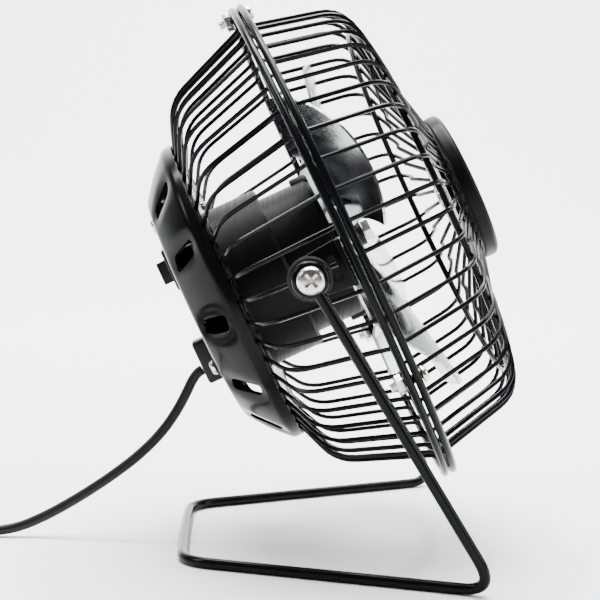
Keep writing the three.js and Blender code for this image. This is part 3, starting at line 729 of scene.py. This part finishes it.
def screw_shapes(head_r, head_height, shank_r, shank_length):
    """A pan-head screw with its thread, head up from z = 0, and the cross pressed into it."""
    edge = [(head_r, 0), (head_r, head_height * 0.42)]
    dome = [(head_r * 0.8, head_height * 0.9), (0, head_height)]
    head = soft_profile([(0, 0), *edge, *dome], head_height * 0.3)
    thread = [(0, 0.05)]
    for k in range(int(shank_length / THREAD_PITCH)):
        thread += [(shank_r, -k * THREAD_PITCH), (shank_r * 0.82, -(k + 0.5) * THREAD_PITCH)]
    thread.append((0, thread[-1][1]))
    body = joined(lathe(head, 40), lathe(thread, 24))
    crosses = []
    for turn in (0, 90):
        outline = rounded_rectangle(head_r * 0.58, head_r * 0.13, head_r * 0.06, 2)
        arm = slab(outline, head_height * 0.45, 9, 0.02)
        crosses.append(turned_about_axis(arm, turn + 20))
    return body, crosses


def make_screw(name, node, sizes, place):
    shape, crosses = screw_shapes(*sizes)
    cross = joined(*crosses)
    piece(name, shape, place, "head", "nickel_plate", [node], tools=[cross], own=True)


def hex_nut(flats, thickness):
    """A nut, whose bore the screw in it fills."""
    corner = flats / 2 / math.cos(math.pi / 6)
    outline = [(corner * math.cos(a), corner * math.sin(a)) for a in np.arange(6) * math.pi / 3]
    return slab(outline, 0, thickness, 0.2)


BACKWARDS = Matrix.Rotation(math.pi, 4, "Y")
# each screw: its head's radius and height, its shank's radius and length
GUARD_SCREW = (2.1, 1.6, 1.2, 8.6)
BADGE_SCREW = (2.4, 1.5, 1.3, 4.4)
CLAMP_SCREW = (2.2, 1.5, 1.1, 4.4)
COVER_SCREW = (2.4, 1.6, 1.3, 14.8)
PIVOT_SCREW = (3.4, 2.25, 1.5, 11.2)
GUARD_SCREW_Z = 2.45
GUARD_NUT_Z = -4.2


def make_guard_screws():
    for number, angle in enumerate(CLIP_ANGLES, 1):
        turn = Matrix.Rotation(math.radians(angle), 4, "Z")
        at = HEAD @ turn @ Matrix.Translation((CLIP_R, 0, GUARD_SCREW_Z))
        make_screw(f"guard_clip_screw_{number}", f"guard_screw_{number}", GUARD_SCREW, at)
        at = HEAD @ turn @ Matrix.Translation((CLIP_R, 0, GUARD_NUT_Z))
        piece(f"guard_clip_nut_{number}", hex_nut(4.4, 1.9), at, "head", "nickel_plate")


make_guard_screws()


# ------------------------------------------------------------ badge
BADGE_R = 20.7
BADGE_BACK = 33.65
BADGE_FRONT = 37.85
CLAMP_DISC_R = 16.6
CLAMP_DISC_LOW = 30.55
CLAMP_DISC_HIGH = 31.75
BADGE_SCREW_Z = 30.25


def make_badge():
    profile = [
        (0, BADGE_BACK),
        (BADGE_R - 0.4, BADGE_BACK),
        (BADGE_R, BADGE_BACK + 0.4),
        (BADGE_R, BADGE_FRONT - 0.9),
        (BADGE_R - 0.9, BADGE_FRONT),
        (BADGE_R - 1.7, BADGE_FRONT),
        (BADGE_R - 2.1, BADGE_FRONT - 0.25),
        (0, BADGE_FRONT - 0.25),
    ]
    shape = lathe(soft_profile(profile, 0.45), 128)
    piece("front_badge_fine", shape, HEAD, "head", "satin_black", ["front_badge"], "badge")
    disc = [(1.6, CLAMP_DISC_LOW), (CLAMP_DISC_R, CLAMP_DISC_LOW)]
    disc += [(CLAMP_DISC_R, CLAMP_DISC_HIGH), (1.6, CLAMP_DISC_HIGH)]
    shape = lathe(disc, 96, True)
    piece("badge_clamp_fine", shape, HEAD, "head", "black_paint", ["badge_clamp_disc"])
    back = HEAD @ Matrix.Translation((0, 0, BADGE_SCREW_Z)) @ BACKWARDS
    make_screw("badge_screw_fine", "badge_screw", BADGE_SCREW, back)


make_badge()

# ------------------------------------------------------------ rear cover
COVER_R = 43.4
COVER_FRONT = -31.35
COVER_EDGE = -34.15
COVER_BACK = -43.75
COVER_BACK_R = 32.2
COVER_WALL = 0.9
VENT_COUNT = 12
VENT_TURN = 5
VENT_SKEW = 0.22
PANEL_BULGE = 0.45
PANEL_GROOVE = 0.5
PRESSED_OUT = 0.56
PRESSED_BACK = 0.83
BACK_SWITCH_UP = 12.8
CORD_UP = -16
SCREW_UP = 24.9


def vent_tools():
    """The slots: rounded, a little skewed, cut square to the cone."""
    tilt = math.atan2(COVER_R - COVER_BACK_R, COVER_EDGE - COVER_BACK)
    middle = ((COVER_R + COVER_BACK_R) / 2, 0, (COVER_EDGE + COVER_BACK) / 2)
    outline = [(x + VENT_SKEW * y, y) for x, y in rounded_rectangle(4.8, 2.3, 1.5)]
    slot = slab(outline, -4, 4, 0.02)
    lean = Matrix.Translation(middle) @ Matrix.Rotation(math.pi / 2 + tilt, 4, "Y")
    slot = moved(slot, lean)
    return [turned_about_axis(slot, VENT_TURN + 360 * k / VENT_COUNT) for k in range(VENT_COUNT)]


def pressed(point):
    """A point of the cover, moved out where a panel swells and in where a border is pressed."""
    x, y, z = point
    r = math.hypot(x, y)
    if not COVER_BACK + 0.2 < z < COVER_EDGE + 0.6:
        return point
    along = (COVER_R - r) / (COVER_R - COVER_BACK_R)
    swell = max(0, math.sin(math.pi * min(max(along, 0), 1)))
    wave = math.cos(VENT_COUNT * (math.atan2(y, x) - math.radians(VENT_TURN)))
    bulge = PANEL_BULGE * swell * min(1, 1.6 * (0.5 - 0.5 * wave))
    groove = PANEL_GROOVE * swell * max(0, wave) ** 3
    lift = bulge - groove
    scale = 1 + lift * PRESSED_OUT / max(r, 1)
    return x * scale, y * scale, z - lift * PRESSED_BACK


def make_cover():
    t = COVER_WALL
    outer = [(0, COVER_BACK), (COVER_BACK_R, COVER_BACK)]
    outer += [(COVER_R, COVER_EDGE), (COVER_R, COVER_FRONT)]
    inner = [
        (COVER_R - t, COVER_FRONT),
        (COVER_R - t, COVER_EDGE + t * 0.6),
        (COVER_BACK_R - t * 0.6, COVER_BACK + t),
        (0, COVER_BACK + t),
    ]
    line = rounded([*outer, *inner], [1.2, 1.0, 0.3, 0.3, 0.8, 0.9], 5)
    dense = [line[0]]
    for a, b in zip(line, line[1:]):
        steps = max(1, int(math.dist(a, b) / 1.2))
        dense += [a + (b - a) * k / steps for k in range(1, steps + 1)]
    vertices, faces = lathe(dense, 288)
    shell = ([pressed(vertex) for vertex in vertices], faces)
    switch_opening = slab(rounded_rectangle(6.5, 4.4, 0.4), -50, -38, 0.02)
    openings = [
        moved(switch_opening, Matrix.Translation((0, BACK_SWITCH_UP, 0))),
        moved(drilled(1.7, -50, -40), Matrix.Translation((0, CORD_UP, 0))),
        moved(drilled(1.6, -50, -40), Matrix.Translation((0, SCREW_UP, 0))),
    ]
    piece(
        "rear_cover_fine",
        shell,
        HEAD,
        "head",
        "black_paint",
        ["rear_cover"],
        tools=[joined(*vent_tools(), *openings)],
        sharp=32,
    )


make_cover()

# ------------------------------------------------------------ switch, clamp and cover screw
SEAT_Z = COVER_BACK - 0.3
BEZEL_OUTER = SEAT_Z - 1.8
ROCKER_TILT = 8
CLAMP_THICKNESS = 5.2
CLAMP_UP = -14
CLAMP_SCREW_X = 6.6


def make_switch():
    """The bezel and its box, and the rocker in them, seen along x to draw its side."""
    middle = Matrix.Translation((0, BACK_SWITCH_UP, 0))
    bezel = slab(rounded_rectangle(8, 5.9, 0.9), BEZEL_OUTER, SEAT_Z, 0.55)
    box = slab(rounded_rectangle(6.1, 4.0, 0.5), SEAT_Z - 0.4, SEAT_Z + 6.2, 0.3)
    well = slab(rounded_rectangle(6.0, 3.55, 0.3), BEZEL_OUTER - 2, SEAT_Z + 5, 0.02)
    piece(
        "switch_body_fine",
        joined(bezel, box),
        HEAD @ middle,
        "head",
        "black_plastic",
        ["switch_body"],
        tools=[well],
        own=True,
    )
    half = 5.55
    rise = half * math.sin(math.radians(ROCKER_TILT))
    outline = [
        (-half + 0.3, 1.2),
        (-half, -2.6),
        (-half + 0.6, -2.75),
        (-1.2, -1.25 + rise * 0.35),
        (1.2, -1.2 + rise * 0.75),
        (half - 0.4, -2.55 + rise * 2),
        (half, -2.3 + rise * 2),
        (half - 0.3, 1.2),
    ]
    shape = slab(outline, -3.12, 3.12, 0.3)
    at = HEAD @ Matrix.Translation((0, BACK_SWITCH_UP, BEZEL_OUTER))
    at = at @ Matrix.Rotation(math.pi / 2, 4, "X")
    piece("switch_rocker_fine", shape, at, "rocker", "black_plastic", ["switch_rocker"])


make_switch()


def make_clamp():
    """The block around the cord, the flange that holds it, its two screws and the cover's."""
    low = SEAT_Z - CLAMP_THICKNESS
    block = slab(rounded_rectangle(4, 6.2, 1.3), low, SEAT_Z, 0.7)
    flange = slab(rounded_rectangle(9.5, 5.2, 2.2), SEAT_Z - 1.25, SEAT_Z, 0.35)
    to_cord = Matrix.Translation((0, CORD_UP - CLAMP_UP, 0))
    hole = moved(drilled(1.65, low - 2, SEAT_Z + 2), to_cord)
    piece(
        "cable_clamp_fine",
        joined(block, flange),
        HEAD @ Matrix.Translation((0, CLAMP_UP, 0)),
        "head",
        "black_plastic",
        ["cable_clamp"],
        tools=[hole],
        own=True,
    )
    for side, name in ((-1, "clamp_screw_left"), (1, "clamp_screw_right")):
        at = Matrix.Translation((side * CLAMP_SCREW_X, CORD_UP, SEAT_Z - 1.5)) @ BACKWARDS
        make_screw(name + "_fine", name, CLAMP_SCREW, HEAD @ at)
    at = Matrix.Translation((0, SCREW_UP, SEAT_Z)) @ BACKWARDS
    make_screw("cover_screw_fine", "cover_screw", COVER_SCREW, HEAD @ at)


make_clamp()

# ------------------------------------------------------------ motor shrouds
SHROUD_R = 23
SHROUD_FRONT_R = 19.8
SHROUD_WALL = 1.6
SHROUD_BACK = -30.4
SHROUD_STEP = -16
SHROUD_FRONT = -1.5
BOSS_UP = 18.6


def make_shrouds():
    """The wide rear part, and the narrower front part with a boss above and below."""
    inner = SHROUD_FRONT_R - SHROUD_WALL
    rear = [
        (inner, SHROUD_BACK),
        (SHROUD_R, SHROUD_BACK),
        (SHROUD_R, SHROUD_STEP - 0.75),
        (SHROUD_R - 0.6, SHROUD_STEP),
        (inner, SHROUD_STEP),
    ]
    shape, node = lathe(rear, 96, True), "motor_shroud_rear"
    piece(node + "_fine", shape, HEAD, "head", "satin_black", [node], "shroud")
    front = [
        (inner, SHROUD_STEP),
        (SHROUD_FRONT_R, SHROUD_STEP),
        (SHROUD_FRONT_R, SHROUD_FRONT - 1.4),
        (SHROUD_FRONT_R - 1.0, SHROUD_FRONT - 0.3),
        (SHROUD_FRONT_R - 2.2, SHROUD_FRONT),
        (4.6, SHROUD_FRONT),
        (4.6, SHROUD_FRONT - SHROUD_WALL),
        (inner, SHROUD_FRONT - SHROUD_WALL),
    ]
    bosses = []
    for side in (-1, 1):
        dome = [(0, -6.5), (2.6, -6.5), (2.6, -2.2), (1.8, -1.5), (0, -1.5)]
        boss = lathe(soft_profile(dome, 0.6), 32)
        bosses.append(moved(boss, Matrix.Translation((0, side * BOSS_UP, 0))))
    shape, node = joined(lathe(front, 96, True), *bosses), "motor_shroud_front"
    piece(node + "_fine", shape, HEAD, "head", "satin_black", [node], "shroud")


make_shrouds()

# ------------------------------------------------------------ blades
BLADE_R = 49.5
BLADE_ROOT_R = 9
BLADE_THICKNESS = 0.7
BLADE_PLATE_Z = 2.3
BLADE_LOW = -2.4
BLADE_HIGH = 13.2
BLADE_COUNT = 4
BLADE_START = 177
BLADE_SWEEP = 64
BLADE_ROOT_SWEEP = 70
BLADE_ROOT_LAG = 14
BLADE_ROOT_RISE = 3
BLADE_CURVE = 124
BLADE_CORNER = 0.05
BLADE_PAST_MOTOR = 0.3


def blade_shape(leading):
    """A blade whose front edge is at that angle, as a curved sheet with its thickness.

    Its low edge stays level with the wheel's plate over the shroud and dips beyond it.
    """
    rows, columns = 28, 22
    clear_r = SHROUD_FRONT_R + 1
    dip = BLADE_PAST_MOTOR * (BLADE_R - SHROUD_FRONT_R)
    top = []
    for i in range(rows + 1):
        for j in range(columns + 1):
            out, along = i / rows, j / columns
            radius = BLADE_ROOT_R * (1 - out) + BLADE_R * out
            radius_here = radius * (1 - BLADE_CORNER * out**3 * (2 * along - 1) ** 4)
            sweep = BLADE_ROOT_SWEEP + (BLADE_SWEEP - BLADE_ROOT_SWEEP) * out
            angle = math.radians(leading - BLADE_ROOT_LAG * (1 - out) - (1 - along) * sweep)
            past = min(max((radius - clear_r) / dip, 0), 1)
            low = BLADE_PLATE_Z + (BLADE_LOW - BLADE_PLATE_Z) * past * past * (3 - 2 * past)
            root_high = BLADE_PLATE_Z + BLADE_ROOT_RISE
            high = root_high + (BLADE_HIGH - root_high) * out
            z = low + (high - low) * math.sin(along * math.radians(BLADE_CURVE))
            top.append((radius_here * math.cos(angle), radius_here * math.sin(angle), z))
    count = len(top)
    vertices = top + [(x, y, z - BLADE_THICKNESS) for x, y, z in top]
    width = columns + 1
    faces = []
    for i in range(rows):
        for j in range(columns):
            a = i * width + j
            faces.append((a, a + 1, a + 1 + width, a + width))
            faces.append((count + a, count + a + width, count + a + 1 + width, count + a + 1))
    edge = list(range(width))
    edge += [i * width + columns for i in range(1, rows + 1)]
    edge += [rows * width + j for j in range(columns - 1, -1, -1)]
    edge += [i * width for i in range(rows - 1, 0, -1)]
    for a, b in zip(edge, edge[1:] + edge[:1]):
        faces.append((a, b, count + b, count + a))
    return vertices, faces


def make_blades():
    blades = [blade_shape(BLADE_START + 360 * k / BLADE_COUNT) for k in range(BLADE_COUNT)]
    low, high = BLADE_PLATE_Z - BLADE_THICKNESS, BLADE_PLATE_Z + 0.1
    plate = lathe([(3.9, low), (12, low), (12, high), (3.9, high)], 64, True)
    shape = joined(plate, *blades)
    piece("fan_blades_fine", shape, HEAD, "rotor", "polished_aluminium", ["fan_blades"])


make_blades()

# ------------------------------------------------------------ pivots
BRACKET_X = 66.6
BRACKET_T = 1.2
WASHER_X = BRACKET_X + BRACKET_T + 0.3
WASHER_R = 5.4
WASHER_T = 2.5
ROD_SPACE = 0.45 + 2 * 1.4 + 0.3
PIVOT_HEAD_X = WASHER_X + WASHER_T + ROD_SPACE
PIVOT_NUT_X = BRACKET_X - 2.4
PIVOT_BORE_R = 1.8
PIVOT_Z = -GUARD_AHEAD
OUTWARD = Matrix.Rotation(math.pi / 2, 4, "Y")


def on_pivot(x, ahead=0):
    """A place on the pivot's axis, with z outward, or that far ahead of the axis."""
    return Matrix.Translation((x, 0, PIVOT_Z + ahead)) @ OUTWARD


def bracket_shapes():
    """The right-hand bracket, a rounded web with a foot on the guard, and what is cut from it."""
    arc = np.linspace(-math.pi / 2, math.pi / 2, 17)
    outline = [(5.2 * math.cos(a), 5.2 * math.sin(a)) for a in arc]
    outline += [(-8.5, 6), (-10.1, 6), (-10.1, -6), (-8.5, -6)]
    web = moved(slab(outline, 0, BRACKET_T, 0.3), on_pivot(BRACKET_X))
    foot = slab(rounded_rectangle(1.9, 6, 0.5), -3.65, -2.45, 0.2)
    foot = moved(foot, Matrix.Translation((BRACKET_X + 1.7, 0, 0)))
    bore = moved(drilled(PIVOT_BORE_R, -3, 4), on_pivot(BRACKET_X))
    slit = slab(rounded_rectangle(0.9, 3.0, 0.8), -3, 4, 0.02)
    return joined(web, foot), [bore, moved(slit, on_pivot(BRACKET_X, 6.4))]


def washer_shape():
    half = [(PIVOT_BORE_R, 0), (WASHER_R - 0.5, 0), (WASHER_R, 0.5)]
    other = [(WASHER_R, WASHER_T - 0.5), (WASHER_R - 0.5, WASHER_T), (PIVOT_BORE_R, WASHER_T)]
    return lathe(half + other, 64, True)


def make_pivots():
    for name, turn in (("left", math.pi), ("right", 0)):
        side = HEAD @ Matrix.Rotation(turn, 4, "Z")
        node = f"pivot_bracket_{name}"
        shape, tools = bracket_shapes()
        piece(node + "_fine", shape, side, "head", "black_paint", [node], tools=tools, own=True)
        node = f"pivot_washer_{name}"
        at = side @ on_pivot(WASHER_X)
        piece(node + "_fine", washer_shape(), at, "head", "black_rubber", [node])
        node = f"pivot_screw_{name}"
        make_screw(node + "_fine", node, PIVOT_SCREW, side @ on_pivot(PIVOT_HEAD_X))
        node = f"pivot_nut_{name}"
        at = side @ on_pivot(PIVOT_NUT_X)
        piece(node + "_fine", hex_nut(5.5, 2.1), at, "head", "nickel_plate", [node])


make_pivots()

# ------------------------------------------------------------ carried-over CAD nodes
CARRIED = {
    "black_paint": ["motor_mounting_plate"],
    "black_plastic": ["motor_end_cap", "blade_hub"],
    "nickel_plate": ["hub_nut"],
    "bare_steel": ["motor_can", "rotor_shaft", "armature_core"],
    "sintered_bronze": ["front_bush", "rear_bush"],
    "copper": ["brush_left", "brush_right", "armature_winding", "commutator"],
    "ferrite": ["magnet_upper", "magnet_lower"],
    "lead_jacket": ["lead_to_motor"],
    "cord_jacket": ["lead_to_switch"],
}
for slot, names in CARRIED.items():
    for name in names:
        slots = frame["nodes"][name].data.materials
        slots.clear()
        slots.append(LOOKS[slot])


# ------------------------------------------------------------ stage
def make_floor():
    """A pale floor that curves up into a backdrop far behind."""
    look = Look("pale_floor", (0.9, 0.9, 0.9), 0.7, Specular_IOR_Level=0.1)
    look.bump(look.noise(40), 0.02, 0.05)
    width, near, depth, height = 4.0, -0.9, 1.5, 2.2
    line = rounded([(near, 0), (depth, 0), (depth, height)], [0.8], 24)
    vertices, faces = [], []
    for x, z in line:
        vertices += [(x, -width, z), (x, width, z)]
    for k in range(len(line) - 1):
        faces.append((2 * k, 2 * k + 1, 2 * k + 3, 2 * k + 2))
    floor = make_object("floor", (vertices, faces))
    floor.data.materials.append(look.material)
    floor.data.shade_smooth()


def area_light(name, at, target, size, power):
    data = bpy.data.lights.new(name, "AREA")
    data.shape = "RECTANGLE"
    data.size, data.size_y = size
    data.energy = power
    light = bpy.data.objects.new(name, data)
    bpy.context.scene.collection.objects.link(light)
    light.location = at
    light.rotation_euler = (Vector(target) - Vector(at)).to_track_quat("-Z", "Y").to_euler()


def make_light():
    world = bpy.data.worlds.new("studio")
    world.use_nodes = True
    background = world.node_tree.nodes["Background"]
    background.inputs["Color"].default_value = (1, 1, 1, 1)
    background.inputs["Strength"].default_value = 0.12
    bpy.context.scene.world = world
    middle = (0, 0.01, 0.075)
    area_light("overhead", (0.15, 0.0, 1.1), middle, (0.8, 0.9), 44)
    area_light("left", (-0.1, 0.9, 0.7), middle, (0.25, 0.4), 4)
    area_light("right", (-0.2, -0.8, 0.35), middle, (0.25, 0.5), 5)
    area_light("backdrop", (0.5, 0, 1.4), (1.5, 0, 0.5), (1.6, 0.5), 90)


make_floor()
make_light()
